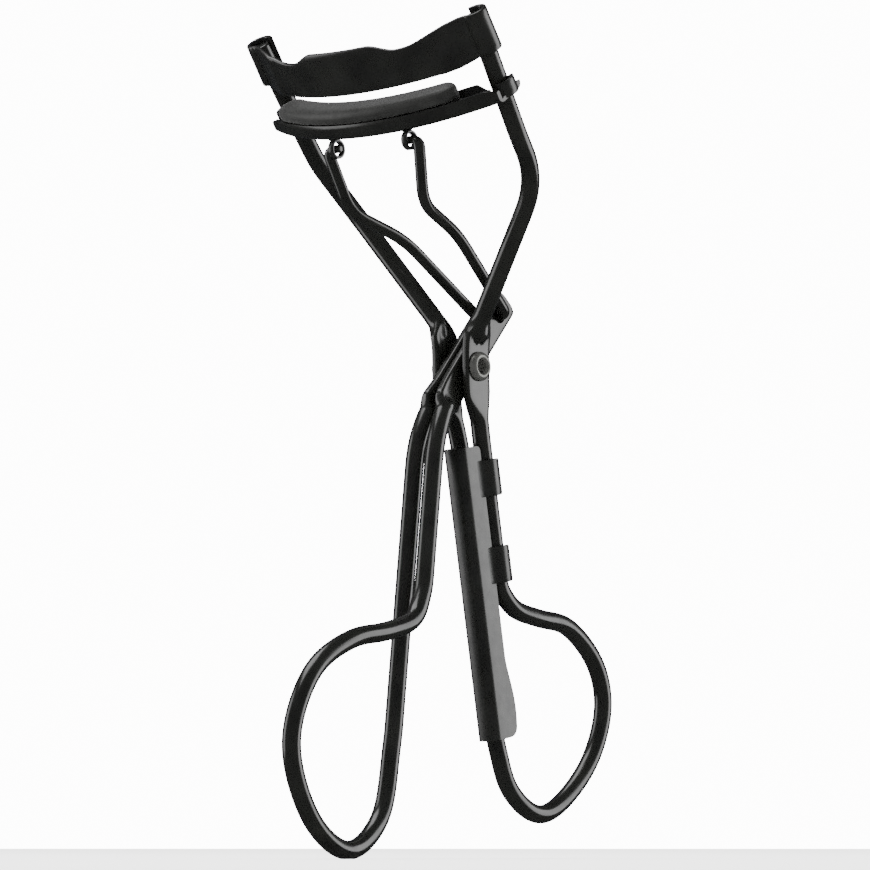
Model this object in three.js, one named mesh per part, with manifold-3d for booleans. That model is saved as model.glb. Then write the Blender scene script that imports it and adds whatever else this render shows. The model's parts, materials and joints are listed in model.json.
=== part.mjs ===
// Eyelash curler: a bent-wire frame with its own finger loop, a second wire handle that swings on one
// rivet, and a push fork that slides the padded lower jaw up the frame against the curved upper plate.
// Millimetres, +Z along the tool, +X across the jaws, -Y towards the bulge of the jaws. Every shape is
// laid out about the pivot, and the last group moves the whole curler so that it stands on Z = 0.
import * as THREE from 'three';
import { mergeVertices } from 'three/addons/utils/BufferGeometryUtils.js';
import Module from 'manifold-3d';

// Stock sizes
const WIRE_R = 1.1;
const FORK_R = 0.75;
const GAP = 0.3;
const WIRE_SIDES = 10;
const FORK_SIDES = 8;

// The upper frame: the jaws slide along a line that leans forward from the tool's axis
const JAW_LEAN = THREE.MathUtils.degToRad(35);
const GUIDE = { x: 16.8, y: -12.3, z: 31.8 };
const WIRE_SPREAD = 0.06;
const WIRE_TOP = 10.4;
const EASE = { along: -6.6, bend: 1.6 };
const KINK = { x: 15.5, y: -4.0, z: 22.0, bend: 4.6 };

// The flattened pivot plates of both wires, half thickness either side of their middle planes
const FRAME_PLATE = { x: 2.45, thick: 1.0, half: 2.25, top: 5.0, bottom: -5.6 };
const ARM_PLATE = { x: 0.75, thick: 1.1, half: 2.0, top: 12.0, bottom: -7.6 };
const PLATE_TAPER = 2.2;
const ARM_LEAN = THREE.MathUtils.degToRad(41);
const FORK_HOLE = { along: 9.4, radius: FORK_R + GAP };

// The two handles: straight wire pairs that lean away from each other, then a finger loop
const BACK_LEAN = THREE.MathUtils.degToRad(10.8);
const FRONT_LEAN = THREE.MathUtils.degToRad(6.8);
const BACK_PAIR_X = 1.8;
const FRONT_PAIR_X = 1.8;
const FRONT_FOOT_X = 1.25;
const BACK_AT_PIVOT = 0.2;
const FRONT_AT_PIVOT = -5.6;
const BACK_KNEE = { depth: 8.5, bend: 1.8 };
const FRONT_KNEE = { depth: 9.4, bend: 3.2 };

// Where each finger loop passes on its way from the near straight wire round to the far one
const BACK_LOOP = {
  nearEnd: 27.4,
  farEnd: 46.5,
  points: [
    [1.6, 8.3, -29.7],
    [1.1, 14, -30.8],
    [0.8, 20.4, -31.7],
    [0.3, 27, -36.6],
    [0, 28.7, -42],
    [-0.5, 25.8, -49.6],
    [-1.0, 17.2, -55.6],
    [-1.5, 11.6, -52.6],
  ],
};
const FRONT_LOOP = {
  nearEnd: 28,
  farEnd: 46,
  points: [
    [1.9, -11.2, -31.8],
    [1.6, -16, -33.5],
    [1.3, -22, -34.6],
    [0.8, -28.6, -38.6],
    [0.1, -31.7, -47.2],
    [-0.6, -27, -56.6],
    [-1.1, -19.8, -60.1],
    [-1.7, -13.4, -56.2],
  ],
};

// The pivot rivet
const RIVET = { shank: 1.0, head: 1.85, headThick: 0.9, crown: 1.33, edge: 0.35, dimple: 0.85, sink: 0.55 };
const PIVOT_HOLE = RIVET.shank + GAP;

// The jaws, in their own leaning frame: x across, y backward, z up the slide line
const JAW = { front: 34, back: 30, centre: 26, halfWidth: 18.2, floor: -0.6, lip: 1.5, sheet: 0.5 };
const PAD = { front: 33.2, back: 30.8, halfWidth: 13.4, bottom: 0.2, beadBottom: 1.8, top: 3.3 };
const PAD_OFFSET = -1.4;
const BEAD = { front: 33.9, back: 30.1, halfWidth: 14.8, corner: 0.5 };
const STEP = { from: 14.7, length: 7, front: -2.4, depth: 10, height: 4 };
const EAR = { height: 2.0, thick: 0.5, width: 3.6, middle: 0.4 };
const GUIDE_HOLE = { radius: WIRE_R + 0.3, slot: 0.35 };
const PLATE = { radius: 32.4, front: 6.6, sheet: 0.6, bottom: 4.9, top: 11.0, crease: 13.2 };
const CLIP = { x: 17.25, radius: WIRE_R + GAP + PLATE.sheet / 2, start: -1.92, wrap: 4.3 };
const TOP_EDGE = { middle: 4, dip: 8.6, end: 14.6, crest: 10.8, low: 9.8, shoulder: 11.0 };

// The push fork and the lugs that it hooks into under the lower jaw
const LUG = { x: 5.9, thick: 0.8, half: 1.25, forward: 6.9, eye: -1.95, hole: 0.92 };
const FORK_HOOK_R = 0.5;
const FORK_TOP_X = 7.4;
const FORK_SHOULDER = { x: 5.9, y: -14.2, z: 18.7, bend: 1.8 };
const FORK_WAIST = { x: 4.3, y: -5.7, z: 15.9, bend: 2.2 };
const FORK_BAR_BEND = 0.9;

// The fold-out lash comb on the back handle, in the handle's own leaning frame
const COMB = { top: -9.7, bottom: -46.4, right: 2.65, left: -0.4, front: -5.3, back: -1.5, sheet: 0.4 };
const KNUCKLE = { inner: WIRE_R + GAP, sheet: 0.45, length: 4.6, start: -0.9, wrap: 4.2 };
const KNUCKLE_TOPS = [-11.6, -22.5];
const TEETH = { count: 22, width: 0.75, point: 0.3, tip: 0.8, root: -1.5, margin: 2.4 };
const FINGER_TAB = { from: -36.5, fullest: -41, corner: 2.2, reach: 0.9 };

// Where the pivot stands over the middle of the base
const PIVOT_AT = new THREE.Vector3(0, 1.509, 61.099);

const wasm = await Module();
wasm.setup();

// --- solids -------------------------------------------------------------------------------------

function solid(geometry) {
  const bare = geometry.clone();
  bare.deleteAttribute('normal');
  bare.deleteAttribute('uv');
  const merged = mergeVertices(bare, 1e-4);
  return new wasm.Manifold(new wasm.Mesh({
    numProp: 3,
    vertProperties: new Float32Array(merged.attributes.position.array),
    triVerts: new Uint32Array(merged.index.array),
  }));
}

function geometryOf(manifold) {
  const mesh = manifold.getMesh();
  const geometry = new THREE.BufferGeometry();
  geometry.setAttribute('position', new THREE.BufferAttribute(new Float32Array(mesh.vertProperties), 3));
  geometry.setIndex(new THREE.BufferAttribute(new Uint32Array(mesh.triVerts), 1));
  geometry.computeVertexNormals();
  return geometry;
}

function union(list) {
  return list.reduce((sum, next) => sum.add(next));
}

// A closed outline in x and y, extruded from z = low to z = high
function prism(outline, low, high, curveSegments = 12) {
  const shape = outline instanceof THREE.Shape ? outline : new THREE.Shape(outline);
  const geometry = new THREE.ExtrudeGeometry(shape, {
    depth: high - low,
    bevelEnabled: false,
    curveSegments,
    steps: 1,
  });
  return geometry.translate(0, 0, low);
}

// The same outline given in y and z, extruded from x = low to x = high
function sidePrism(outline, low, high, curveSegments = 12) {
  const turn = new THREE.Matrix4().makeBasis(
    new THREE.Vector3(0, 1, 0), new THREE.Vector3(0, 0, 1), new THREE.Vector3(1, 0, 0));
  return prism(outline, low, high, curveSegments).applyMatrix4(turn);
}

function pinX(radius, low, high, y, z, sides = 20) {
  const geometry = new THREE.CylinderGeometry(radius, radius, high - low, sides);
  return geometry.rotateZ(Math.PI / 2).translate((low + high) / 2, y, z);
}

// Straight runs joined by round bends: each corner gives its point and how far back the bend starts
function bentPath(corners) {
  const path = new THREE.CurvePath();
  let from = corners[0].at;
  for (let i = 1; i < corners.length - 1; i += 1) {
    const { at, bend } = corners[i];
    const before = at.clone().add(corners[i - 1].at.clone().sub(at).setLength(bend));
    const after = at.clone().add(corners[i + 1].at.clone().sub(at).setLength(bend));
    if (before.distanceTo(from) > 1e-3) path.add(new THREE.LineCurve3(from, before));
    path.add(new THREE.QuadraticBezierCurve3(before, at, after));
    from = after;
  }
  path.add(new THREE.LineCurve3(from, corners[corners.length - 1].at));
  return path;
}

function wire(path, radius, sides, spacing) {
  const section = new THREE.Shape();
  for (let i = 0; i < sides; i += 1) {
    const angle = (i / sides) * 2 * Math.PI;
    const x = radius * Math.cos(angle);
    const y = radius * Math.sin(angle);
    if (i === 0) section.moveTo(x, y);
    else section.lineTo(x, y);
  }
  return new THREE.ExtrudeGeometry(section, {
    steps: Math.ceil(path.getLength() / spacing),
    extrudePath: path,
    bevelEnabled: false,
  });
}

const point = (x, y, z, bend = 0) => ({ at: new THREE.Vector3(x, y, z), bend });

const mirrored = (side, corner) => point(side * corner.x, corner.y, corner.z, corner.bend);

// A point on a side wire of the frame, a distance up the slide line from the guide
function onSlide(side, along, bend = 0) {
  const x = GUIDE.x + WIRE_SPREAD * along;
  const y = GUIDE.y - Math.sin(JAW_LEAN) * along;
  const z = GUIDE.z + Math.cos(JAW_LEAN) * along;
  return point(side * x, y, z, bend);
}

// A handle: from the near top down to the knee, the near straight wire, the finger loop through its
// points, and the far straight wire back up
function handlePath(pairX, line, top, kneeAt, loop) {
  const onLine = (side, depth) => new THREE.Vector3(side * pairX, line(depth), -depth);
  const knee = (side) => ({ at: onLine(side, kneeAt.depth), bend: kneeAt.bend });
  const near = onLine(1, loop.nearEnd);
  const far = onLine(-1, loop.farEnd);
  const round = loop.points.map(([x, y, z]) => new THREE.Vector3(x, y, z));
  const path = new THREE.CurvePath();
  bentPath([top(1), knee(1), { at: near }]).curves.forEach((curve) => path.add(curve));
  path.add(new THREE.CatmullRomCurve3([near, ...round, far]));
  bentPath([{ at: far }, knee(-1), top(-1)]).curves.forEach((curve) => path.add(curve));
  return path;
}

// The side view of a flattened length of wire: a round top end and a foot that narrows to the wire
function flattened(half, top, bottom) {
  const outline = new THREE.Shape();
  outline.moveTo(-WIRE_R, bottom);
  outline.lineTo(WIRE_R, bottom);
  outline.lineTo(half, bottom + PLATE_TAPER);
  outline.lineTo(half, top - PLATE_TAPER);
  outline.quadraticCurveTo(half, top, 0, top);
  outline.quadraticCurveTo(-half, top, -half, top - PLATE_TAPER);
  outline.lineTo(-half, bottom + PLATE_TAPER);
  return outline;
}

// A pair of flattened plates with a cross pin hole at each height given
function platePair(plate, holes) {
  return [-1, 1].map((side) => {
    const low = side * plate.x - plate.thick / 2;
    const high = side * plate.x + plate.thick / 2;
    const blank = solid(sidePrism(flattened(plate.half, plate.top, plate.bottom), low, high));
    return holes.reduce(
      (left, hole) => left.subtract(solid(pinX(hole.radius, low - 1, high + 1, 0, hole.along))), blank);
  });
}

// --- the frame wire -----------------------------------------------------------------------------

const backLine = (depth) => BACK_AT_PIVOT + Math.tan(BACK_LEAN) * depth;

function frameWire() {
  const sideEnd = { x: FRAME_PLATE.x + 0.45, y: 0, z: FRAME_PLATE.top - 1.2 };
  const sides = [-1, 1].map((side) => bentPath([
    onSlide(side, WIRE_TOP),
    onSlide(side, EASE.along, EASE.bend),
    mirrored(side, KINK),
    mirrored(side, sideEnd),
  ]));
  const plateFoot = (side) => point(side * FRAME_PLATE.x, 0.7, FRAME_PLATE.bottom + 1.4);
  const handle = handlePath(BACK_PAIR_X, backLine, plateFoot, BACK_KNEE, BACK_LOOP);
  const wires = [...sides, handle].map((path) => solid(wire(path, WIRE_R, WIRE_SIDES, 2.4)));
  const plates = platePair(FRAME_PLATE, [{ along: 0, radius: PIVOT_HOLE }]);
  return geometryOf(union([...wires, ...plates]));
}

// --- the front handle ---------------------------------------------------------------------------

const frontLine = (depth) => FRONT_AT_PIVOT - Math.tan(FRONT_LEAN) * depth;

function frontHandle() {
  const arms = platePair(ARM_PLATE, [{ along: 0, radius: PIVOT_HOLE }, FORK_HOLE]);
  const leaning = union(arms).rotate([THREE.MathUtils.radToDeg(-ARM_LEAN), 0, 0]);
  const footAlong = ARM_PLATE.bottom + 1.2;
  const armFoot = (side) => point(
    side * FRONT_FOOT_X, Math.sin(ARM_LEAN) * footAlong, Math.cos(ARM_LEAN) * footAlong);
  const handle = handlePath(FRONT_PAIR_X, frontLine, armFoot, FRONT_KNEE, FRONT_LOOP);
  return geometryOf(leaning.add(solid(wire(handle, WIRE_R, WIRE_SIDES, 2.4))));
}

// --- the pivot rivet ----------------------------------------------------------------------------

function pivotRivet() {
  const face = FRAME_PLATE.x + FRAME_PLATE.thick / 2 + GAP;
  const top = face + RIVET.headThick;
  const profile = [
    [0, -top],
    [RIVET.crown, -top],
    [RIVET.head, -top + RIVET.edge],
    [RIVET.head, -face],
    [RIVET.shank, -face],
    [RIVET.shank, face],
    [RIVET.head, face],
    [RIVET.head, top - RIVET.edge],
    [RIVET.crown, top],
    [RIVET.dimple, top],
    [RIVET.dimple * 0.7, top - RIVET.sink],
    [0, top - RIVET.sink],
  ].map(([radius, along]) => new THREE.Vector2(radius, along));
  return new THREE.LatheGeometry(profile, 24).rotateZ(-Math.PI / 2);
}

// --- the jaws (leaning frame) -------------------------------------------------------------------

// The band between two arcs about the jaw's centre, bulging towards -y, with square ends
function arcBand(front, back, halfWidth) {
  const shape = new THREE.Shape();
  const frontAngle = Math.asin(halfWidth / front);
  const backAngle = Math.asin(halfWidth / back);
  const down = -Math.PI / 2;
  shape.absarc(0, JAW.centre, front, down - frontAngle, down + frontAngle, false);
  shape.absarc(0, JAW.centre, back, down + backAngle, down - backAngle, true);
  return shape;
}

// The same band with round ends
function roundBand(front, back, halfWidth) {
  const shape = new THREE.Shape();
  const middle = (front + back) / 2;
  const nose = (front - back) / 2;
  const turn = Math.asin((halfWidth - nose) / middle);
  const left = -Math.PI / 2 - turn;
  const right = -Math.PI / 2 + turn;
  const noseAt = (angle, from) => shape.absarc(
    middle * Math.cos(angle), JAW.centre + middle * Math.sin(angle), nose, from, from + Math.PI, false);
  shape.absarc(0, JAW.centre, front, left, right, false);
  noseAt(right, right);
  shape.absarc(0, JAW.centre, back, right, left, true);
  noseAt(left, left + Math.PI);
  return shape;
}

function lowerJaw() {
  const outer = solid(prism(arcBand(JAW.front, JAW.back, JAW.halfWidth), JAW.floor, JAW.lip, 28));
  const inside = arcBand(JAW.front - JAW.sheet, JAW.back + JAW.sheet, JAW.halfWidth + 2);
  const trough = solid(prism(inside, JAW.floor + JAW.sheet, JAW.lip + 1, 28));
  let jaw = outer.subtract(trough);
  for (const side of [-1, 1]) {
    const step = new THREE.BoxGeometry(STEP.length, STEP.depth, STEP.height);
    const stepZ = JAW.floor + JAW.sheet + STEP.height / 2;
    step.translate(side * (STEP.from + STEP.length / 2), STEP.front + STEP.depth / 2, stepZ);
    jaw = jaw.subtract(solid(step));
    for (const shift of [-GUIDE_HOLE.slot, GUIDE_HOLE.slot]) {
      const bore = new THREE.CylinderGeometry(GUIDE_HOLE.radius, GUIDE_HOLE.radius, 8, 16);
      bore.rotateX(Math.PI / 2).translate(side * GUIDE.x + shift, 0, 0);
      jaw = jaw.subtract(solid(bore));
    }
    const ear = new THREE.BoxGeometry(EAR.thick, EAR.width, EAR.height);
    ear.translate(side * (JAW.halfWidth + EAR.thick / 2 - 0.1), EAR.middle, JAW.floor + EAR.height / 2);
    jaw = jaw.add(solid(ear));
  }
  return geometryOf(jaw);
}

// The pad sits a little to one side in its channel
function lashPad() {
  const core = roundBand(PAD.front, PAD.back, PAD.halfWidth);
  const bead = roundBand(BEAD.front, BEAD.back, BEAD.halfWidth);
  const crown = roundBand(BEAD.front - BEAD.corner, BEAD.back + BEAD.corner, BEAD.halfWidth - BEAD.corner);
  const layers = [
    prism(core, PAD.bottom, PAD.beadBottom + 0.3, 16),
    prism(bead, PAD.beadBottom, PAD.top - BEAD.corner, 16),
    prism(crown, PAD.top - BEAD.corner - 0.2, PAD.top, 16),
  ];
  const turn = PAD_OFFSET / ((PAD.front + PAD.back) / 2);
  const pad = geometryOf(union(layers.map(solid)));
  return pad.translate(0, -JAW.centre, 0).rotateZ(turn).translate(0, JAW.centre, 0);
}

function jawLug(side) {
  const outline = new THREE.Shape();
  const top = JAW.floor - GAP;
  outline.moveTo(-LUG.half, top);
  outline.lineTo(-LUG.half, LUG.eye);
  outline.absarc(0, LUG.eye, LUG.half, Math.PI, 2 * Math.PI, false);
  outline.lineTo(LUG.half, top);
  const middle = side * LUG.x;
  const lug = solid(sidePrism(outline, middle - LUG.thick / 2, middle + LUG.thick / 2));
  const eye = solid(pinX(LUG.hole, middle - 1, middle + 1, 0, LUG.eye));
  return geometryOf(lug.subtract(eye)).translate(0, -LUG.forward, 0);
}

// The plate's middle line in plan: the arc, a crease, then a curl that wraps the side wire
function plateLine(side) {
  const line = [];
  const arcSteps = 12;
  const start = PLATE.radius - PLATE.front;
  for (let i = 0; i <= arcSteps; i += 1) {
    const x = (PLATE.crease * i) / arcSteps;
    line.push(new THREE.Vector2(x, start - Math.sqrt(PLATE.radius ** 2 - x * x)));
  }
  const curlSteps = 12;
  for (let i = 0; i <= curlSteps; i += 1) {
    const angle = CLIP.start + (CLIP.wrap * i) / curlSteps;
    line.push(new THREE.Vector2(
      CLIP.x + CLIP.radius * Math.cos(angle), CLIP.radius * Math.sin(angle)));
  }
  return line.map((at) => new THREE.Vector2(side * at.x, at.y));
}

function thickLine(line, thick) {
  const offset = (sign) => line.map((at, i) => {
    const ahead = line[Math.min(i + 1, line.length - 1)];
    const behind = line[Math.max(i - 1, 0)];
    const along = ahead.clone().sub(behind).normalize();
    return new THREE.Vector2(at.x - sign * along.y * thick / 2, at.y + sign * along.x * thick / 2);
  });
  return [...offset(1), ...offset(-1).reverse()];
}

function upperPlate() {
  const right = plateLine(1);
  const left = plateLine(-1).slice(1).reverse();
  const sheet = solid(prism(thickLine([...left, ...right], PLATE.sheet), PLATE.bottom, PLATE.top));
  const { middle, dip, end, crest, low, shoulder } = TOP_EDGE;
  const above = PLATE.top + 1;
  const edge = new THREE.Shape();
  edge.moveTo(-end, above);
  edge.lineTo(-end, shoulder);
  edge.bezierCurveTo(-end + 3, low, -dip - 1.5, low, -dip, low);
  edge.bezierCurveTo(-dip + 1.5, low, -middle - 2, crest, -middle, crest);
  edge.lineTo(middle, crest);
  edge.bezierCurveTo(middle + 2, crest, dip - 1.5, low, dip, low);
  edge.bezierCurveTo(dip + 1.5, low, end - 3, low, end, shoulder);
  edge.lineTo(end, above);
  const cut = solid(prism(edge, -PLATE.front * 2, PLATE.front * 2, 6).rotateX(Math.PI / 2));
  return geometryOf(sheet.subtract(cut));
}

// --- the push fork ------------------------------------------------------------------------------

function pushFork() {
  const eyeY = GUIDE.y - Math.cos(JAW_LEAN) * LUG.forward - Math.sin(JAW_LEAN) * LUG.eye;
  const eyeZ = GUIDE.z - Math.sin(JAW_LEAN) * LUG.forward + Math.cos(JAW_LEAN) * LUG.eye;
  const barY = Math.sin(ARM_LEAN) * FORK_HOLE.along;
  const barZ = Math.cos(ARM_LEAN) * FORK_HOLE.along;
  const barX = ARM_PLATE.x + ARM_PLATE.thick / 2 + GAP + FORK_R;
  const half = (side) => [
    point(side * FORK_TOP_X, eyeY, eyeZ),
    mirrored(side, FORK_SHOULDER),
    mirrored(side, FORK_WAIST),
    point(side * barX, barY, barZ, FORK_BAR_BEND),
  ];
  const path = bentPath([...half(1), ...half(-1).reverse()]);
  const hooks = [-1, 1].map((side) => {
    const inner = LUG.x - LUG.thick / 2 - GAP;
    const ends = [side * inner, side * FORK_TOP_X].sort((a, b) => a - b);
    return solid(pinX(FORK_HOOK_R, ends[0], ends[1], eyeY, eyeZ, 12));
  });
  return geometryOf(union([solid(wire(path, FORK_R, FORK_SIDES, 1.6)), ...hooks]));
}

// --- the lash comb (back handle's frame) --------------------------------------------------------

function lashComb() {
  const { left, right, front, back, sheet } = COMB;
  const channel = new THREE.Shape();
  channel.moveTo(right, back);
  channel.lineTo(right, front + 1);
  channel.quadraticCurveTo(right, front, right - 1, front);
  channel.lineTo(left, front);
  channel.lineTo(left, TEETH.root);
  channel.lineTo(left + sheet, TEETH.root);
  channel.lineTo(left + sheet, front + sheet);
  channel.lineTo(right - 1, front + sheet);
  channel.quadraticCurveTo(right - sheet, front + sheet, right - sheet, front + 1);
  channel.lineTo(right - sheet, back);
  const parts = [solid(prism(channel.getPoints(4).reverse(), COMB.bottom, COMB.top))];
  for (const top of KNUCKLE_TOPS) {
    const curl = [new THREE.Vector2(right - sheet / 2, back - 0.6)];
    const radius = KNUCKLE.inner + KNUCKLE.sheet / 2;
    for (let i = 0; i <= 12; i += 1) {
      const angle = KNUCKLE.start + (KNUCKLE.wrap * i) / 12;
      curl.push(new THREE.Vector2(
        BACK_PAIR_X + radius * Math.cos(angle), radius * Math.sin(angle)));
    }
    parts.push(solid(prism(thickLine(curl, KNUCKLE.sheet).reverse(), top - KNUCKLE.length, top)));
  }
  const pitch = (COMB.top - COMB.bottom - 2 * TEETH.margin) / TEETH.count;
  for (let i = 0; i < TEETH.count; i += 1) {
    const z = COMB.bottom + TEETH.margin + (i + 0.5) * pitch;
    const tooth = [
      new THREE.Vector2(TEETH.root - 0.3, z - TEETH.width / 2),
      new THREE.Vector2(TEETH.tip, z - TEETH.point / 2),
      new THREE.Vector2(TEETH.tip, z + TEETH.point / 2),
      new THREE.Vector2(TEETH.root - 0.3, z + TEETH.width / 2),
    ];
    parts.push(solid(sidePrism(tooth, left, left + sheet)));
  }
  const tab = new THREE.Shape();
  const root = back - sheet;
  const edge = back + FINGER_TAB.reach;
  tab.moveTo(root, COMB.bottom);
  tab.quadraticCurveTo(edge, COMB.bottom, edge, COMB.bottom + FINGER_TAB.corner);
  tab.quadraticCurveTo(edge, FINGER_TAB.fullest, root, FINGER_TAB.from);
  parts.push(solid(sidePrism(tab, right - sheet, right, 5)));
  return geometryOf(union(parts));
}

// --- the assembly -------------------------------------------------------------------------------

const black = new THREE.Color('#1b1c19');

function paint(roughness, metalness, colour = black) {
  return new THREE.MeshStandardMaterial({ color: colour, roughness, metalness });
}

function part(name, geometry, material) {
  const mesh = new THREE.Mesh(geometry, material);
  mesh.name = name;
  return mesh;
}

const jaws = new THREE.Group();
jaws.position.set(0, GUIDE.y, GUIDE.z);
jaws.rotation.x = JAW_LEAN;
jaws.add(
  part('upper_plate', upperPlate(), paint(0.35, 0.6)),
  part('lower_jaw', lowerJaw(), paint(0.35, 0.6)),
  part('lash_pad', lashPad(), paint(0.75, 0, new THREE.Color('#151614'))),
  part('jaw_lug_left', jawLug(-1), paint(0.4, 0.6)),
  part('jaw_lug_right', jawLug(1), paint(0.4, 0.6)),
);

const backHandle = new THREE.Group();
backHandle.position.y = backLine(0);
backHandle.rotation.x = BACK_LEAN;
backHandle.add(part('lash_comb', lashComb(), paint(0.35, 0.6)));

const curler = new THREE.Group();
curler.position.copy(PIVOT_AT);
curler.add(
  part('frame_wire', frameWire(), paint(0.32, 0.6)),
  part('front_handle', frontHandle(), paint(0.32, 0.6)),
  part('push_fork', pushFork(), paint(0.32, 0.6)),
  part('pivot_rivet', pivotRivet(), paint(0.25, 0.9, new THREE.Color('#3a3b37'))),
  jaws,
  backHandle,
);

const model = new THREE.Group();
model.add(curler);

export default model;
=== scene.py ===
import json
import math

import bpy
import bmesh
from mathutils import Matrix, Vector

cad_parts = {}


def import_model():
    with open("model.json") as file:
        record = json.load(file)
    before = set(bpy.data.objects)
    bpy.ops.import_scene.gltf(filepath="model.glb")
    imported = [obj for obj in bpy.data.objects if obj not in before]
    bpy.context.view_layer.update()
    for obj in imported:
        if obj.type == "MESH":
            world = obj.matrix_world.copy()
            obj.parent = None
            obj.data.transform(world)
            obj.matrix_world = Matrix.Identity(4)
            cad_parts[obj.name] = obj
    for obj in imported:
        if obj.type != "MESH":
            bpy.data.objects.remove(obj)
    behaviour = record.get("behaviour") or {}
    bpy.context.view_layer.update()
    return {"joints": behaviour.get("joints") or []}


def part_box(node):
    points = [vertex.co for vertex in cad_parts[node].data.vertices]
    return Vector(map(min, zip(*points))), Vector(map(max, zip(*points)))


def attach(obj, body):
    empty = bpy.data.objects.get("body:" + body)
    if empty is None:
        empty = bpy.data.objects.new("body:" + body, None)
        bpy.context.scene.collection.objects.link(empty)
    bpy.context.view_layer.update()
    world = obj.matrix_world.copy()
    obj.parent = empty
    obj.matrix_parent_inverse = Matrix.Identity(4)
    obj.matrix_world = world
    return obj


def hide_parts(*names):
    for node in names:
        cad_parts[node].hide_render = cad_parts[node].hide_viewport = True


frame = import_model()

# Sizes are in millimetres about the pivot, as the CAD lays them out, and turn into metres at the end.
MM = 0.001
WIRE = 1.17
FORK = 0.75
HOOK = 0.5
PIVOT_HOLE = 1.3
ARM_HOLE = 1.05
WIRE_SPREAD = 0.06
joints = {joint["name"]: joint for joint in frame["joints"]}
PIVOT = Vector(joints["squeeze"]["pos_m"])
BAR = (Vector(joints["fork_swing"]["pos_m"]) - PIVOT) / MM
COMB_AXIS = Vector(joints["comb_swing"]["axis"])
COMB_AT = (Vector(joints["comb_swing"]["pos_m"]) - PIVOT) / MM
SLIDE = Vector(joints["jaw_slide"]["axis"])
JAW_LEAN = math.atan2(-SLIDE.y, SLIDE.z)
BACK_LEAN = math.atan2(-COMB_AXIS.y, COMB_AXIS.z)
FRONT_LEAN = math.radians(6.8)
ARM_LEAN = math.radians(41)
GUIDE = Vector((16.8, -12.3, 31.8))
PAIR_BACK = COMB_AT.x
PAIR_FRONT = 1.55
ARM = Vector((0, math.sin(ARM_LEAN), math.cos(ARM_LEAN)))
LUG_AT = Vector((0, -6.9, -1.95))
EYE = Vector((0, GUIDE.y, GUIDE.z)) + Matrix.Rotation(JAW_LEAN, 3, "X") @ LUG_AT

to_pivot = Matrix.Translation(PIVOT) @ Matrix.Scale(MM, 4)
to_jaw = to_pivot @ Matrix.Translation((0, GUIDE.y, GUIDE.z)) @ Matrix.Rotation(JAW_LEAN, 4, "X")
comb_foot = COMB_AT - COMB_AXIS * (COMB_AT.z / COMB_AXIS.z)
to_comb = to_pivot @ Matrix.Translation((0, comb_foot.y, 0)) @ Matrix.Rotation(BACK_LEAN, 4, "X")


def clamp(value):
    return max(0.0, min(1.0, value))


def ease(value, low, high):
    t = clamp((value - low) / (high - low))
    return t * t * (3 - 2 * t)


def mix(a, b, t):
    return a + (b - a) * t


# --- paths ---------------------------------------------------------------------------------------


def bent(corners, step=0.3):
    """Straight runs joined by round bends. Each corner is a point and how far back its bend starts."""
    points = [corners[0][0].copy()]
    for i in range(1, len(corners) - 1):
        at, bend = corners[i]
        before = at + (corners[i - 1][0] - at).normalized() * bend
        after = at + (corners[i + 1][0] - at).normalized() * bend
        count = max(4, round(2 * bend / step))
        for k in range(count + 1):
            t = k / count
            points.append(before * (1 - t) ** 2 + at * (2 * t * (1 - t)) + after * t * t)
    points.append(corners[-1][0].copy())
    return points


def catmull(points, per=16):
    """A centripetal Catmull-Rom curve through the points."""
    ends = [points[0] * 2 - points[1], *points, points[-1] * 2 - points[-2]]
    curve = []
    for i in range(len(points) - 1):
        p = ends[i:i + 4]
        t = [0.0]
        for a, b in zip(p, p[1:]):
            t.append(t[-1] + max(1e-6, (b - a).length) ** 0.5)
        for k in range(per):
            s = mix(t[1], t[2], k / per)
            a1 = p[0] * ((t[1] - s) / (t[1] - t[0])) + p[1] * ((s - t[0]) / (t[1] - t[0]))
            a2 = p[1] * ((t[2] - s) / (t[2] - t[1])) + p[2] * ((s - t[1]) / (t[2] - t[1]))
            a3 = p[2] * ((t[3] - s) / (t[3] - t[2])) + p[3] * ((s - t[2]) / (t[3] - t[2]))
            b1 = a1 * ((t[2] - s) / (t[2] - t[0])) + a2 * ((s - t[0]) / (t[2] - t[0]))
            b2 = a2 * ((t[3] - s) / (t[3] - t[1])) + a3 * ((s - t[1]) / (t[3] - t[1]))
            curve.append(b1 * ((t[2] - s) / (t[2] - t[1])) + b2 * ((s - t[1]) / (t[2] - t[1])))
    curve.append(points[-1].copy())
    return curve


def lengths(points):
    total = [0.0]
    for a, b in zip(points, points[1:]):
        total.append(total[-1] + (b - a).length)
    return total


def resample(points, stations):
    total = lengths(points)
    out = []
    i = 0
    for s in stations:
        while i < len(points) - 2 and total[i + 1] < s:
            i += 1
        span = total[i + 1] - total[i]
        out.append(points[i].lerp(points[i + 1], clamp((s - total[i]) / span if span > 1e-9 else 0)))
    return out


def even(points, spacing):
    length = lengths(points)[-1]
    count = max(2, round(length / spacing))
    return resample(points, [length * i / count for i in range(count + 1)])


def relaxed(points, rounds):
    for _ in range(rounds):
        inner = [(a + b * 2 + c) / 4 for a, b, c in zip(points, points[1:], points[2:])]
        points = [points[0], *inner, points[-1]]
    return points


def with_fine_ends(points, spacing, ends=(0, 0.05, 0.14, 0.28, 0.45)):
    length = lengths(points)[-1]
    count = max(2, round((length - 2 * ends[-1]) / spacing))
    middle = [ends[-1] + (length - 2 * ends[-1]) * i / count for i in range(1, count)]
    return resample(points, [*ends, *middle, *[length - e for e in reversed(ends)]])


# --- meshes --------------------------------------------------------------------------------------


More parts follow.
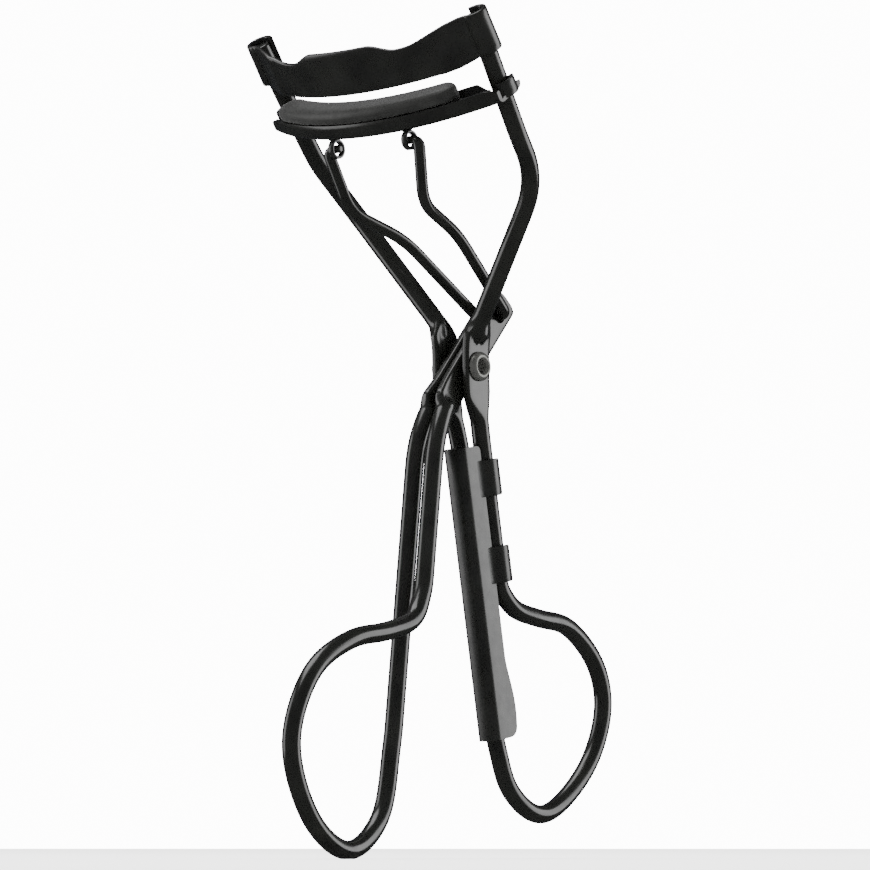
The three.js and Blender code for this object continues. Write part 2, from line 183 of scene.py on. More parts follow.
class Build:
    """Collects closed shells in one local frame and turns them into one object."""

    def __init__(self, matrix):
        self.matrix = matrix
        self.verts = []
        self.faces = []

    def rings(self, rings, closed=False):
        base = len(self.verts)
        count = len(rings[0])
        for ring in rings:
            self.verts.extend(self.matrix @ Vector(p) for p in ring)
        turns = len(rings) if closed else len(rings) - 1
        for i in range(turns):
            a = base + i * count
            b = base + ((i + 1) % len(rings)) * count
            for k in range(count):
                m = (k + 1) % count
                self.faces.append((a + k, a + m, b + m, b + k))
        if not closed:
            self.faces.append(tuple(base + k for k in reversed(range(count))))
            last = base + (len(rings) - 1) * count
            self.faces.append(tuple(last + k for k in range(count)))

    def done(self, name, angle=35):
        mesh = bpy.data.meshes.new(name)
        mesh.from_pydata(self.verts, [], self.faces)
        body = bmesh.new()
        body.from_mesh(mesh)
        bmesh.ops.remove_doubles(body, verts=body.verts, dist=1e-7)
        bmesh.ops.recalc_face_normals(body, faces=body.faces)
        body.to_mesh(mesh)
        body.free()
        piece = bpy.data.objects.new(name, mesh)
        bpy.context.collection.objects.link(piece)
        shade(mesh, angle)
        return piece


def shade(mesh, angle):
    mesh.polygons.foreach_set("use_smooth", [True] * len(mesh.polygons))
    mesh.set_sharp_from_angle(angle=math.radians(angle))


def applied(piece, angle=35):
    graph = bpy.context.evaluated_depsgraph_get()
    mesh = bpy.data.meshes.new_from_object(piece.evaluated_get(graph))
    piece.modifiers.clear()
    old = piece.data
    piece.data = mesh
    bpy.data.meshes.remove(old)
    shade(mesh, angle)
    return piece


def tube(build, points, section, side=None):
    """Sweeps section(i, point) along the points. The section's first axis follows side, or turns least."""
    rings = []
    across = None
    for i, p in enumerate(points):
        ahead = points[min(i + 1, len(points) - 1)]
        behind = points[max(i - 1, 0)]
        along = (ahead - behind).normalized()
        guide = side if side is not None else across
        if guide is None:
            guide = Vector((1, 0, 0)) if abs(along.x) < 0.9 else Vector((0, 1, 0))
        across = (guide - along * guide.dot(along)).normalized()
        up = along.cross(across)
        rings.append([p + across * u + up * v for u, v in section(i, p)])
    build.rings(rings)


def outline(a, b, power, ridge=0.0, shift=0.0, count=36):
    """A flattened wire's section, a by b, with a round ridge on it that is shifted along the first axis."""
    ring = []
    for k in range(count):
        turn = 2 * math.pi * k / count
        angle = math.atan2(b * math.sin(turn), a * math.cos(turn))
        c, s = math.cos(angle), math.sin(angle)
        reach = (abs(c / a) ** power + abs(s / b) ** power) ** (-1 / power)
        if ridge > abs(shift):
            reach = max(reach, shift * c + math.sqrt(ridge * ridge - (shift * s) ** 2))
        ring.append((reach * c, reach * s))
    return ring


def ribbon(build, line, thick, low, high, edge=0.14, rows=6):
    """A sheet that stands up from a line in plan, with rounded edges. low and high are heights per point."""
    rings = []
    half = thick / 2
    for i, p in enumerate(line):
        ahead = line[min(i + 1, len(line) - 1)]
        behind = line[max(i - 1, 0)]
        along = (ahead - behind).normalized()
        out = Vector((along.y, -along.x))
        lo = low(i, p)
        hi = high(i, p)
        section = []
        for k in range(rows + 1):
            section.append((half, mix(lo + edge, hi - edge, k / rows)))
        section.append((half - edge * 0.3, hi - edge * 0.3))
        section.append((half - edge, hi))
        section.append((-half + edge, hi))
        section.append((-half + edge * 0.3, hi - edge * 0.3))
        for k in range(rows + 1):
            section.append((-half, mix(hi - edge, lo + edge, k / rows)))
        section.append((-half + edge * 0.3, lo + edge * 0.3))
        section.append((-half + edge, lo))
        section.append((half - edge, lo))
        section.append((half - edge * 0.3, lo + edge * 0.3))
        rings.append([(p.x + out.x * u, p.y + out.y * u, z) for u, z in section])
    build.rings(rings)


def lathe_x(build, profile, y=0.0, z=0.0, count=48):
    """Turns (x, radius) pairs about a line along X."""
    rings = []
    for x, radius in profile:
        ring = []
        for k in range(count):
            angle = 2 * math.pi * k / count
            ring.append((x, y + radius * math.cos(angle), z + radius * math.sin(angle)))
        rings.append(ring)
    build.rings(rings)


def cut(piece, cutter, angle=35):
    tool = cutter.done(piece.name + "_tool")
    modifier = piece.modifiers.new("cut", "BOOLEAN")
    modifier.operation = "DIFFERENCE"
    modifier.solver = "EXACT"
    modifier.object = tool
    applied(piece, angle)
    bpy.data.objects.remove(tool)
    return piece


def hole_x(build, radius, low, high, y, z, count=40):
    lathe_x(build, [(low, radius), (high, radius)], y, z, count)


# --- materials -----------------------------------------------------------------------------------


def new_material(name):
    material = bpy.data.materials.new(name)
    material.use_nodes = True
    tree = material.node_tree
    return material, tree, tree.nodes["Principled BSDF"]


def add(tree, kind, **settings):
    node = tree.nodes.new(kind)
    for key, value in settings.items():
        if key in node.inputs:
            node.inputs[key].default_value = value
        else:
            setattr(node, key, value)
    return node


def noise_of(tree, scale, detail=3.0, rough=0.5, stretch=None):
    place = add(tree, "ShaderNodeTexCoord")
    source = place.outputs["Object"]
    if stretch:
        mapping = add(tree, "ShaderNodeMapping")
        mapping.inputs["Scale"].default_value = stretch
        tree.links.new(source, mapping.inputs["Vector"])
        source = mapping.outputs["Vector"]
    noise = add(tree, "ShaderNodeTexNoise", Scale=scale, Detail=detail, Roughness=rough)
    tree.links.new(source, noise.inputs["Vector"])
    return noise.outputs["Fac"]


def ramp_of(tree, source, stops):
    ramp = add(tree, "ShaderNodeValToRGB")
    elements = ramp.color_ramp.elements
    elements[0].position, elements[0].color = stops[0]
    elements[1].position, elements[1].color = stops[-1]
    for position, colour in stops[1:-1]:
        element = elements.new(position)
        element.color = colour
    tree.links.new(source, ramp.inputs["Fac"])
    return ramp.outputs["Color"]


def ranged(tree, source, low, high, to_low, to_high):
    node = add(tree, "ShaderNodeMapRange")
    for key, value in (("From Min", low), ("From Max", high), ("To Min", to_low), ("To Max", to_high)):
        node.inputs[key].default_value = value
    tree.links.new(source, node.inputs["Value"])
    return node.outputs["Result"]


def bump_of(tree, source, strength, distance, below=None):
    node = add(tree, "ShaderNodeBump", Strength=strength, Distance=distance)
    tree.links.new(source, node.inputs["Height"])
    if below is not None:
        tree.links.new(below, node.inputs["Normal"])
    return node.outputs["Normal"]


def lacquer(name, sheet=False):
    """Gloss black lacquer: a faint orange peel, hairline wipe marks and uneven gloss."""
    material, tree, shader = new_material(name)
    shades = [(0.3, (0.003, 0.0031, 0.0026, 1)), (0.7, (0.0052, 0.0054, 0.0045, 1))]
    tone = ramp_of(tree, noise_of(tree, 260, 4), shades)
    tree.links.new(tone, shader.inputs["Base Color"])
    smooth, dull = (0.25, 0.34) if sheet else (0.19, 0.27)
    gloss = ranged(tree, noise_of(tree, 700, 5, 0.6), 0.3, 0.7, smooth, dull)
    tree.links.new(gloss, shader.inputs["Roughness"])
    peel = bump_of(tree, noise_of(tree, 1900, 2), 0.07 if sheet else 0.04, 0.00002)
    wipe = bump_of(tree, noise_of(tree, 900, 3, 0.7, (6, 6, 0.4)), 0.05, 0.00002, peel)
    tree.links.new(wipe, shader.inputs["Normal"])
    shader.inputs["IOR"].default_value = 1.58
    shader.inputs["Coat Weight"].default_value = 0.25
    shader.inputs["Coat Roughness"].default_value = 0.16
    return material


def rubber(name):
    """Satin black silicone: fine skin, a little bloom, softer highlights than the lacquer."""
    material, tree, shader = new_material(name)
    shades = [(0.3, (0.0055, 0.0056, 0.005, 1)), (0.72, (0.0095, 0.0097, 0.0088, 1))]
    tone = ramp_of(tree, noise_of(tree, 420, 4), shades)
    tree.links.new(tone, shader.inputs["Base Color"])
    dull = ranged(tree, noise_of(tree, 1100, 4, 0.6), 0.3, 0.7, 0.4, 0.54)
    tree.links.new(dull, shader.inputs["Roughness"])
    skin = bump_of(tree, noise_of(tree, 4200, 3), 0.25, 0.00002)
    tree.links.new(skin, shader.inputs["Normal"])
    shader.inputs["Sheen Weight"].default_value = 0.08
    shader.inputs["Sheen Roughness"].default_value = 0.4
    return material


def rivet_metal(name):
    """Blackened steel, rolled over by a spinning tool, so its marks run in rings round the rivet."""
    material, tree, shader = new_material(name)
    place = add(tree, "ShaderNodeTexCoord")
    shift = add(tree, "ShaderNodeMapping")
    shift.inputs["Location"].default_value = -PIVOT
    tree.links.new(place.outputs["Object"], shift.inputs["Vector"])
    ring = add(tree, "ShaderNodeTexWave", wave_type="RINGS", rings_direction="X", Scale=900.0, Distortion=0.6)
    tree.links.new(shift.outputs["Vector"], ring.inputs["Vector"])
    shades = [(0.3, (0.10, 0.102, 0.095, 1)), (0.72, (0.19, 0.19, 0.18, 1))]
    tone = ramp_of(tree, noise_of(tree, 800, 4), shades)
    tree.links.new(tone, shader.inputs["Base Color"])
    dull = ranged(tree, ring.outputs["Fac"], 0, 1, 0.24, 0.36)
    tree.links.new(dull, shader.inputs["Roughness"])
    marks = bump_of(tree, ring.outputs["Fac"], 0.12, 0.00002)
    tree.links.new(marks, shader.inputs["Normal"])
    shader.inputs["Metallic"].default_value = 0.85
    return material


wire_black = lacquer("black_lacquer_wire")
sheet_black = lacquer("black_lacquer_sheet", sheet=True)
pad_black = rubber("black_silicone")
rivet_dark = rivet_metal("blackened_rivet")


def place(piece, body, node, slot, material):
    piece.data.materials.clear()
    piece.data.materials.append(material)
    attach(piece, body)
    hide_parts(node)


# --- the frame wire ------------------------------------------------------------------------------


def on_slide(side, along):
    base = Vector((side * (GUIDE.x + WIRE_SPREAD * along), GUIDE.y, GUIDE.z))
    return base + SLIDE * along


def back_line(depth):
    return comb_foot.y + math.tan(BACK_LEAN) * depth


def front_line(depth):
    return -5.6 - math.tan(FRONT_LEAN) * depth


BACK_LOOP = [(1.6, 8.3, -29.7), (1.1, 14, -30.8), (0.8, 20.4, -31.7), (0.3, 27, -36.6),
             (0, 28.7, -42), (-0.5, 25.8, -49.6), (-1.0, 17.2, -55.6), (-1.5, 11.6, -52.6)]
FRONT_LOOP = [(1.9, -11.2, -31.8), (1.6, -16, -33.5), (1.3, -22, -34.6), (0.8, -28.6, -38.6),
              (0.1, -31.7, -47.2), (-0.6, -27, -56.6), (-1.1, -19.8, -60.1), (-1.7, -13.4, -56.2)]


def handle_wire(upper, pair, line, knee, ends, loop):
    """The near half from upper(1) down to its knee, the finger loop, and the far half back up."""
    def at(side, depth):
        return Vector((side * pair, line(depth), -depth))

    near = bent([*upper(1), (at(1, knee[0]), knee[1]), (at(1, ends[0]), 0)])
    far = bent([*upper(-1), (at(-1, knee[0]), knee[1]), (at(-1, ends[1]), 0)])
    far.reverse()
    turn = catmull([at(1, ends[0]), *[Vector(p) for p in loop], at(-1, ends[1])])
    whole = even(near + turn[1:-1] + far, 0.35)
    return with_fine_ends(relaxed(whole, 10), 0.42)


def cut_end(from_end, ring, corner=0.22):
    """Rounds the rim of a cut wire end."""
    if from_end >= corner:
        return ring
    drop = corner * (1 - math.sqrt(1 - (1 - from_end / corner) ** 2))
    return [(u * (1 - drop / WIRE), v * (1 - drop / WIRE)) for u, v in ring]


def frame_wire():
    def upper(side):
        return [
            (on_slide(side, 10.4), 0),
            (on_slide(side, -6.6), 1.6),
            (Vector((side * 15.5, -4.0, 22.0)), 4.6),
            (Vector((side * 2.8, 0, 4.9)), 1.5),
            (Vector((side * 2.45, 0, 2.6)), 1.0),
            (Vector((side * 2.45, 0.1, -2.8)), 1.6),
        ]

    points = handle_wire(upper, PAIR_BACK, back_line, (8.5, 2.6), (27.4, 46.5), BACK_LOOP)
    total = lengths(points)

    def section(i, p):
        top = ease(p.z, 3.9, 6.2)
        bottom = ease(-p.z, 3.2, 6.8)
        round_off = max(top, bottom)
        a = mix(0.5, WIRE, round_off)
        b = mix(2.25, WIRE, round_off ** 0.8)
        ridge = 0.0
        if p.z > 3.0:
            ridge = WIRE * math.sqrt(1 - clamp((4.1 - p.z) / 1.1) ** 2)
        shift = math.copysign(0.4 * (1 - top), p.x)
        ring = outline(a, b, mix(7, 2, round_off), ridge, shift)
        return cut_end(min(total[i], total[-1] - total[i]), ring)

    build = Build(to_pivot)
    tube(build, points, section, Vector((1, 0, 0)))
    piece = build.done("bent_frame_wire", 48)
    cutter = Build(to_pivot)
    hole_x(cutter, PIVOT_HOLE, -3.4, 3.4, 0, 0)
    return cut(piece, cutter, 48)


def front_handle():
    def upper(side):
        return [
            (Vector((side * 0.75, 0, 0)) + ARM * 12, 0),
            (Vector((side * 0.75, 0, 0)) + ARM * -4.6, 1.4),
            (Vector((side * 1.25, 0, 0)) + ARM * -6.8, 0.8),
        ]

    points = handle_wire(upper, PAIR_FRONT, front_line, (9.4, 3.0), (28, 46), FRONT_LOOP)

    def section(i, p):
        along = p.dot(ARM)
        if p.z < -12:
            along = -20
        round_off = ease(-along, 6.2, 7.4)
        a = mix(0.55, WIRE, round_off)
        b = mix(2.0, WIRE, round_off ** 0.8)
        if along > 10.6:
            b *= max(0.5, (1 - min(1.0, (along - 10.6) / 1.4) ** 5) ** 0.2)
        ridge = 0.0
        if -9 < along < -6.3:
            ridge = WIRE * math.sqrt(1 - clamp((along + 7.1) / 0.8) ** 2)
        shift = math.copysign(0.42 * (1 - round_off), p.x)
        return outline(a, b, mix(7, 2, round_off), ridge, shift)

    build = Build(to_pivot)
    tube(build, points, section, Vector((1, 0, 0)))
    piece = build.done("bent_front_handle", 48)
    cutter = Build(to_pivot)
    hole_x(cutter, PIVOT_HOLE, -3.4, 3.4, 0, 0)
    hole_x(cutter, ARM_HOLE, -3.4, 3.4, BAR.y, BAR.z)
    return cut(piece, cutter, 48)


def push_fork():
    def half(side):
        return [
            (Vector((side * 5.15, EYE.y, EYE.z)), 0),
            (Vector((side * 7.4, EYE.y, EYE.z)), 1.0),
            (Vector((side * 5.9, -14.2, 18.7)), 2.2),
            (Vector((side * 4.3, -5.7, 15.9)), 2.6),
            (Vector((side * 2.35, BAR.y, BAR.z)), 1.0),
        ]

    route = bent([*half(1), *reversed(half(-1))], 0.2)
    points = with_fine_ends(relaxed(even(route, 0.2), 5), 0.3)
    total = lengths(points)

    def section(i, p):
        from_end = min(total[i], total[-1] - total[i])
        radius = mix(HOOK, FORK, ease(from_end, 0.9, 2.6))
        if from_end < 0.2:
            radius -= 0.2 * (1 - math.sqrt(1 - (1 - from_end / 0.2) ** 2))
        return outline(radius, radius, 2, count=28)

    build = Build(to_pivot)
    tube(build, points, section)
    return build.done("bent_push_fork", 50)


def pivot_rivet():
    build = Build(to_pivot)
    far = [(-3.72, 0.02), (-3.7, 0.6), (-3.62, 1.1), (-3.45, 1.5), (-3.22, 1.76), (-3.06, 1.85),
           (-2.99, 1.84)]
    near = [(2.99, 1.84), (3.08, 1.86), (3.3, 1.82), (3.52, 1.68), (3.68, 1.46), (3.74, 1.24), (3.7, 1.06),
            (3.56, 0.94), (3.34, 0.86), (2.9, 0.82), (2.62, 0.74), (2.56, 0.5), (2.6, 0.2), (2.62, 0.02)]
    lathe_x(build, [*far, (-2.99, 1.0), (-2.9, 0.98), (2.9, 0.98), (2.99, 1.0), *near])
    return build.done("rolled_pivot_rivet", 40)


# --- the jaws ------------------------------------------------------------------------------------

CENTRE = 26.0


def on_arc(radius, x):
    return Vector((x, CENTRE - math.sqrt(radius * radius - x * x)))


def upper_plate():
    radius, start = 32.4, 32.4 - 6.6
    clip_x, clip_r = 17.3, 1.46

    def half_line(side):
        line = []
        for i in range(41):
            x = 14.1 * i / 40
            y = start - math.sqrt(radius * radius - x * x)
            line.append(Vector((x, y + 0.28 * ease(x, 13.0, 13.6) - 0.28 * ease(x, 12.5, 13.0))))
        for i in range(29):
            angle = -1.95 + 4.5 * i / 28
            line.append(Vector((clip_x + clip_r * math.cos(angle), clip_r * math.sin(angle))))
        smooth = relaxed([Vector((p.x, p.y, 0)) for p in line], 1)
        return [Vector((side * p.x, p.y)) for p in smooth]

    right = half_line(1)
    left = half_line(-1)
    line = list(reversed(left[1:])) + right

    def high(i, p):
        x = abs(p.x)
        level = 10.8 - 1.25 * ease(x, 4.4, 8.4) + 1.2 * ease(x, 9.2, 15.2)
        return level + 0.2 * ease(x, 14, 16)

    def low(i, p):
        return 4.9 + 0.5 * ease(abs(p.x), 15.0, 17.2)

    build = Build(to_jaw)
    ribbon(build, line, 0.55, low, high, 0.17, 8)
    return build.done("curved_upper_plate", 50)


def jaw_section(back_lip):
    """The channel's section as (radius, height): a thin folded sheet with round lips and round corners."""
    front, back, floor, lip, sheet = 34.0, 30.0, -0.6, 1.5, 0.5
    points = []

    def corner(r, z, size, start, turns=5):
        for k in range(turns + 1):
            angle = math.radians(start - 90 * k / turns)
            points.append((r + size * math.cos(angle), z + size * math.sin(angle)))

    points.append((front - 0.1, lip))
    points.append((front - 0.02, lip - 0.1))
    points.append((front, 0.9))
    points.append((front, 0.4))
    corner(front - 0.7, floor + 0.7, 0.7, 0)
    points.append((32.6, floor))
    points.append((31.4, floor))
    corner(back + 0.7, floor + 0.7, 0.7, -90)
    low = min(back_lip, floor + 0.75)
    points.append((back, mix(low, back_lip, 0.5)))
    points.append((back + 0.02, back_lip - 0.1))
    points.append((back + 0.1, back_lip))
    points.append((back + sheet - 0.1, back_lip))
    points.append((back + sheet - 0.02, back_lip - 0.1))
    points.append((back + sheet, min(back_lip, floor + sheet + 0.45)))
    points.append((back + sheet + 0.3, floor + sheet))
    points.append((32.0, floor + sheet))
    points.append((front - sheet - 0.3, floor + sheet))
    points.append((front - sheet, floor + sheet + 0.35))
    points.append((front - sheet + 0.02, lip - 0.1))
    points.append((front - sheet + 0.1, lip))
    return points


def lower_jaw():
    build = Build(to_jaw)
    rings = []
    count = 96
    half = 18.2
    for i in range(count + 1):
        x = -half + 2 * half * i / count
        drop = ease(abs(x), 13.9, 15.0)
        back_lip = mix(1.5, 0.3, drop)
        ring = []
        for r, z in jaw_section(back_lip):
            if z > 0.1 and r > 33:
                z -= 0.5 * ease(abs(x), 16.6, 18.2)
            at = on_arc(r, x)
            ring.append((at.x, at.y, z))
        rings.append(ring)
    build.rings(rings)
    piece = build.done("folded_lower_jaw", 40)
    cutter = Build(to_jaw)
    for side in (-1, 1):
        slot = []
        for z in (-3.0, 3.0):
            ring = []
            for k in range(40):
                angle = 2 * math.pi * k / 40
                x = side * GUIDE.x + math.copysign(0.35, math.cos(angle)) + 1.4 * math.cos(angle)
                ring.append((x, 1.4 * math.sin(angle), z))
            slot.append(ring)
        cutter.rings(slot)
    cut(piece, cutter, 40)
    rings = Build(to_jaw)
    for side in (-1, 1):
        line = []
        for k in range(17):
            angle = -1.15 + 2.9 * k / 16
            line.append(Vector((side * (GUIDE.x + 0.15 + 1.66 * math.cos(angle)), 1.66 * math.sin(angle))))
        ribbon(rings, line, 0.42, lambda i, p: -0.55, lambda i, p: 1.55 - 0.5 * ease(i, 10, 16), 0.12, 4)
    curls = rings.done("jaw_curls", 50)
    return joined(piece, curls, 42)


def joined(piece, other, angle):
    body = bmesh.new()
    body.from_mesh(piece.data)
    body.from_mesh(other.data)
    body.to_mesh(piece.data)
    body.free()
    bpy.data.objects.remove(other)
    shade(piece.data, angle)
    return piece


PAD_TURN = -1.4 / 32


def lash_pad():
    """The silicone strip: a foot in the channel and a fat round bead that rests on the channel's lips."""
    outline_points = [(33.2, 0.2), (33.22, 1.0), (33.3, 1.5), (33.75, 1.62), (33.93, 2.1), (33.86, 2.65),
                      (33.45, 3.1), (32.8, 3.27), (32.0, 3.3), (31.2, 3.27), (30.55, 3.1), (30.14, 2.65),
                      (30.07, 2.1), (30.25, 1.62), (30.7, 1.5), (30.78, 1.0), (30.8, 0.2)]
    ring_in = [Vector((r, z, 0)) for r, z in outline_points]
    loop = catmull([ring_in[-2], *ring_in[1:-1]], 3)
    section = [(p.x, p.y) for p in loop] + [(30.8, 0.28), (31.0, 0.2), (33.0, 0.2), (33.2, 0.28)]
    half = 14.75
    stations = []
    nose = 1.85
    for k in range(9):
        stations.append(-half + nose * (1 - math.cos(math.pi / 2 * k / 8)))
    for k in range(1, 60):
        stations.append(mix(-half + nose, half - nose, k / 60))
    stations += [-s for s in reversed(stations[:9])]
    rings = []
    for s in stations:
        from_end = half - abs(s)
        shrink = math.sqrt(max(0.0, 1 - (1 - min(1.0, from_end / nose)) ** 2))
        shrink = max(0.06, shrink)
        ring = []
        for r, z in section:
            radius = 32 + (r - 32) * shrink
            level = mix(1.9, z, 0.55 + 0.45 * shrink)
            angle = s / 32
            ring.append((radius * math.sin(angle), CENTRE - radius * math.cos(angle), level))
        rings.append(ring)
    build = Build(to_jaw @ Matrix.Translation((0, CENTRE, 0)) @ Matrix.Rotation(PAD_TURN, 4, "Z")
                  @ Matrix.Translation((0, -CENTRE, 0)))
    build.rings(rings)
    return build.done("silicone_lash_pad", 60)


def jaw_lug(side):
    """A tab folded down from under the jaw, its end curled into the eye that the fork hooks into."""
    low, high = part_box("jaw_lug_right")
    middle = (low[0] + high[0]) / 2 / MM * side
    eye_y, eye_z = LUG_AT.y, LUG_AT.z
    build = Build(to_jaw)
    inner, outer, half = 0.9, 1.24, 0.4
    profile = [(-half, inner + 0.06), (-half + 0.06, inner), (half - 0.06, inner), (half, inner + 0.06),
               (half, outer - 0.1), (half - 0.03, outer - 0.03), (half - 0.1, outer),
               (-half + 0.1, outer), (-half + 0.03, outer - 0.03), (-half, outer - 0.1)]
    rings = []
    for k in range(36):
        angle = 2 * math.pi * k / 36
        across, rise = math.cos(angle), math.sin(angle)
        rings.append([(middle + x, eye_y + r * across, eye_z + r * rise) for x, r in profile])
    build.rings(rings, closed=True)
    neck = []
    for z, back_by, reach, wide in ((eye_z + 0.95, 0.1, 0.7, 0.4), (eye_z + 1.12, 0.3, 0.8, 0.42),
                                    (-0.72, 0.8, 0.95, 0.5), (-0.58, 0.9, 1.1, 0.7)):
        ring = []
        for u, v in outline(wide, reach, 5, count=28):
            ring.append((middle + u, eye_y + back_by + v, z))
        neck.append(ring)
    build.rings(neck)
    name = "jaw_eye_tab_right" if side > 0 else "jaw_eye_tab_left"
    return build.done(name, 45)


# --- the lash comb -------------------------------------------------------------------------------

COMB = {"top": -9.7, "bottom": -46.4, "right": 2.65, "left": -0.4, "front": -5.3, "back": -1.5,
        "sheet": 0.4}


def lash_comb():
    top, bottom = COMB["top"], COMB["bottom"]
    sheet = COMB["sheet"]
    right = COMB["right"] - sheet / 2
    left = COMB["left"] + sheet / 2
    front = COMB["front"] + sheet / 2
    teeth, margin, tip, root = 22, 2.4, 0.8, -1.5
    pitch = (top - bottom - 2 * margin) / teeth

    def tooth_edge(z):
        place_in = (z - bottom - margin) / pitch
        if not 0 <= place_in < teeth:
            return root
        away = abs(place_in % 1 - 0.5) * pitch
        return mix(tip, root, clamp((away - 0.12) / 0.26))

    def flange_edge(z):
        swell = 0.9 * math.sin(math.pi * clamp((z - bottom + 3.2) / 13.2)) ** 1.5
        corner_low = 1.1 * (1 - math.sqrt(1 - clamp(1 - (z - bottom) / 1.1) ** 2))
        corner_high = 0.7 * (1 - math.sqrt(1 - clamp(1 - (top - z) / 0.7) ** 2))
        return COMB["back"] + swell - corner_low - corner_high

    levels = {bottom, top}
    for k in range(1, 12):
        levels.add(bottom + 0.12 * k)
        levels.add(top - 0.08 * k)
    for k in range(44):
        levels.add(bottom + 1.4 + k * 0.33)
    for i in range(teeth):
        centre = bottom + margin + (i + 0.5) * pitch
        for off in (-0.38, -0.12, 0.12, 0.38):
            levels.add(centre + off)
        levels.add(centre + pitch / 2)
    rings = []
    for z in sorted(levels):
        line = [Vector((right, flange_edge(z), 0)), Vector((right, mix(flange_edge(z), front, 0.5), 0))]
        for k in range(7):
            angle = math.pi / 2 * k / 6
            line.append(Vector((right - 1 + math.cos(angle), front + 1 - math.sin(angle), 0)))
        line.append(Vector((mix(right - 1, left + 0.5, 0.5), front, 0)))
        for k in range(5):
            angle = math.pi / 2 * k / 4
            line.append(Vector((left + 0.5 - 0.5 * math.sin(angle), front + 0.5 - 0.5 * math.cos(angle), 0)))
        line.append(Vector((left, -3.2, 0)))
        line.append(Vector((left, root - 0.2, 0)))
        line.append(Vector((left, tooth_edge(z), 0)))
        one, two = [], []
        for i, p in enumerate(line):
            ahead = line[min(i + 1, len(line) - 1)]
            behind = line[max(i - 1, 0)]
            along = (ahead - behind).normalized()
            out = Vector((along.y, -along.x, 0))
            half = sheet / 2
            one.append(p + out * half + Vector((0, 0, z)))
            two.append(p - out * half + Vector((0, 0, z)))
        rings.append(one + list(reversed(two)))
    build = Build(to_comb)
    build.rings(rings)
    for knuckle in (-11.6, -22.5):
        line = [Vector((right, COMB["back"] - 0.9)), Vector((right, COMB["back"] - 0.4))]
        for k in range(25):
            angle = -0.98 + 4.5 * k / 24
            line.append(Vector((PAIR_BACK + 1.62 * math.cos(angle), 1.62 * math.sin(angle))))
        line = [Vector((p.x, p.y)) for p in relaxed([Vector((q.x, q.y, 0)) for q in line], 1)]

        def reach(i):
            return mix(2.3, 1.0, 1 - math.sqrt(1 - ease(i, 8, 15) ** 2))

        ribbon(build, line, 0.42, lambda i, p, k=knuckle: k - 2.3 - reach(i),
               lambda i, p, k=knuckle: k - 2.3 + reach(i), 0.12, 4)
    piece = build.done("folded_lash_comb", 40)
    bevel = piece.modifiers.new("edge", "BEVEL")
    bevel.width = 0.05 * MM
    bevel.segments = 1
    bevel.limit_method = "ANGLE"
    bevel.angle_limit = math.radians(50)
    return applied(piece, 40)


place(frame_wire(), "frame", "frame_wire", "black_paint", wire_black)
place(front_handle(), "lever", "front_handle", "black_paint", wire_black)
place(push_fork(), "fork", "push_fork", "black_paint", wire_black)
place(pivot_rivet(), "frame", "pivot_rivet", "rivet_steel", rivet_dark)
place(upper_plate(), "frame", "upper_plate", "black_sheet", sheet_black)
place(lower_jaw(), "jaw", "lower_jaw", "black_sheet", sheet_black)
place(lash_pad(), "jaw", "lash_pad", "pad_rubber", pad_black)
place(jaw_lug(-1), "jaw", "jaw_lug_left", "black_sheet", sheet_black)
place(jaw_lug(1), "jaw", "jaw_lug_right", "black_sheet", sheet_black)
place(lash_comb(), "comb", "lash_comb", "black_sheet", sheet_black)

# --- camera, floor and light ---------------------------------------------------------------------

AZIMUTH, ELEVATION = math.radians(40), math.radians(-5)
DISTANCE = 590.0
PIXELS_PER_MM, PICTURE = 8, 870
right = Vector((math.cos(AZIMUTH), math.sin(AZIMUTH), 0))
level = math.cos(ELEVATION)
back = Vector((math.sin(AZIMUTH) * level, -math.cos(AZIMUTH) * level, math.sin(ELEVATION)))
up = back.cross(right)
target = PIVOT + (right * -3.19 + up * -8.375) * MM
camera_data = bpy.data.cameras.new("camera")
camera_data.sensor_width = 36
camera_data.lens = PIXELS_PER_MM * DISTANCE / PICTURE * camera_data.sensor_width
camera_data.clip_start = 0.01
camera = bpy.data.objects.new("camera", camera_data)
turned = Matrix((right, up, back)).transposed().to_4x4()
camera.matrix_world = Matrix.Translation(target + back * (DISTANCE * MM)) @ turned
bpy.context.collection.objects.link(camera)
bpy.context.scene.camera = camera


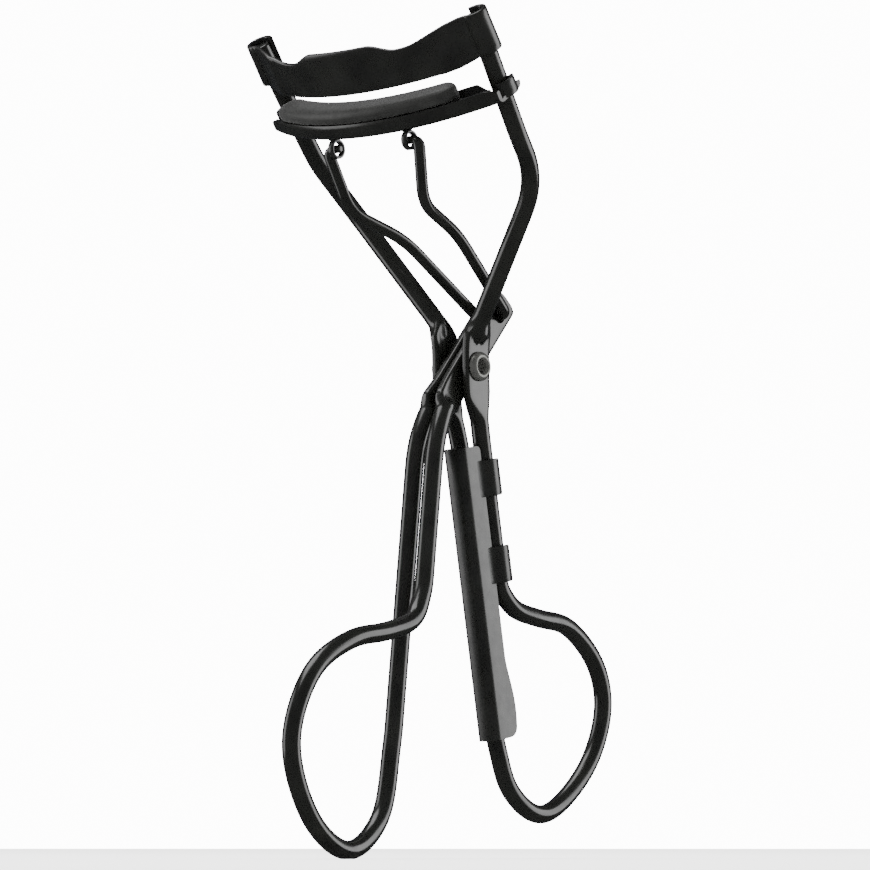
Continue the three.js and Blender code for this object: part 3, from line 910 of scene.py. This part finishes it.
def floor():
    mesh = bpy.data.meshes.new("floor")
    size = 6.0
    corners = [(-size, -size, 0), (size, -size, 0), (size, size, 0), (-size, size, 0)]
    mesh.from_pydata(corners, [], [(0, 1, 2, 3)])
    ground = bpy.data.objects.new("floor", mesh)
    bpy.context.collection.objects.link(ground)
    material, tree, shader = new_material("pale_floor")
    tone = ramp_of(tree, noise_of(tree, 14, 3), [(0.3, (0.88, 0.88, 0.875, 1)), (0.7, (0.9, 0.9, 0.895, 1))])
    tree.links.new(tone, shader.inputs["Base Color"])
    shader.inputs["Roughness"].default_value = 0.9
    shader.inputs["Specular IOR Level"].default_value = 0.1
    mesh.materials.append(material)
    ground.visible_glossy = False


def softbox(name, direction, distance, width, height, power):
    light = bpy.data.lights.new(name, "AREA")
    light.shape = "RECTANGLE"
    light.size = width
    light.size_y = height
    light.energy = power
    lamp = bpy.data.objects.new(name, light)
    away = Vector(direction).normalized()
    lamp.location = PIVOT + away * distance
    lamp.rotation_euler = away.to_track_quat("Z", "Y").to_euler()
    bpy.context.collection.objects.link(lamp)


def world():
    scene_world = bpy.data.worlds.new("studio")
    bpy.context.scene.world = scene_world
    scene_world.use_nodes = True
    tree = scene_world.node_tree
    tree.nodes.clear()
    out = tree.nodes.new("ShaderNodeOutputWorld")
    seen = tree.nodes.new("ShaderNodeBackground")
    seen.inputs["Color"].default_value = (0.96, 0.96, 0.955, 1)
    seen.inputs["Strength"].default_value = 14.0
    room = tree.nodes.new("ShaderNodeBackground")
    room.inputs["Color"].default_value = (0.9, 0.93, 1.0, 1)
    room.inputs["Strength"].default_value = 0.06
    sky = tree.nodes.new("ShaderNodeBackground")
    sky.inputs["Color"].default_value = (1.0, 1.0, 1.0, 1)
    sky.inputs["Strength"].default_value = 4.0
    path = tree.nodes.new("ShaderNodeLightPath")
    soft = tree.nodes.new("ShaderNodeMixShader")
    blend = tree.nodes.new("ShaderNodeMixShader")
    tree.links.new(path.outputs["Is Diffuse Ray"], soft.inputs["Fac"])
    tree.links.new(room.outputs["Background"], soft.inputs[1])
    tree.links.new(sky.outputs["Background"], soft.inputs[2])
    tree.links.new(path.outputs["Is Camera Ray"], blend.inputs["Fac"])
    tree.links.new(soft.outputs["Shader"], blend.inputs[1])
    tree.links.new(seen.outputs["Background"], blend.inputs[2])
    tree.links.new(blend.outputs["Shader"], out.inputs["Surface"])


floor()
world()
softbox("right_softbox", (0.68, 0.73, 0.1), 0.5, 0.3, 0.42, 1.4)
softbox("left_softbox", (-0.8, -0.6, 0.1), 0.5, 0.24, 0.45, 0.85)
softbox("top_softbox", (-0.3, -0.35, 1.0), 0.6, 0.5, 0.4, 2.4)
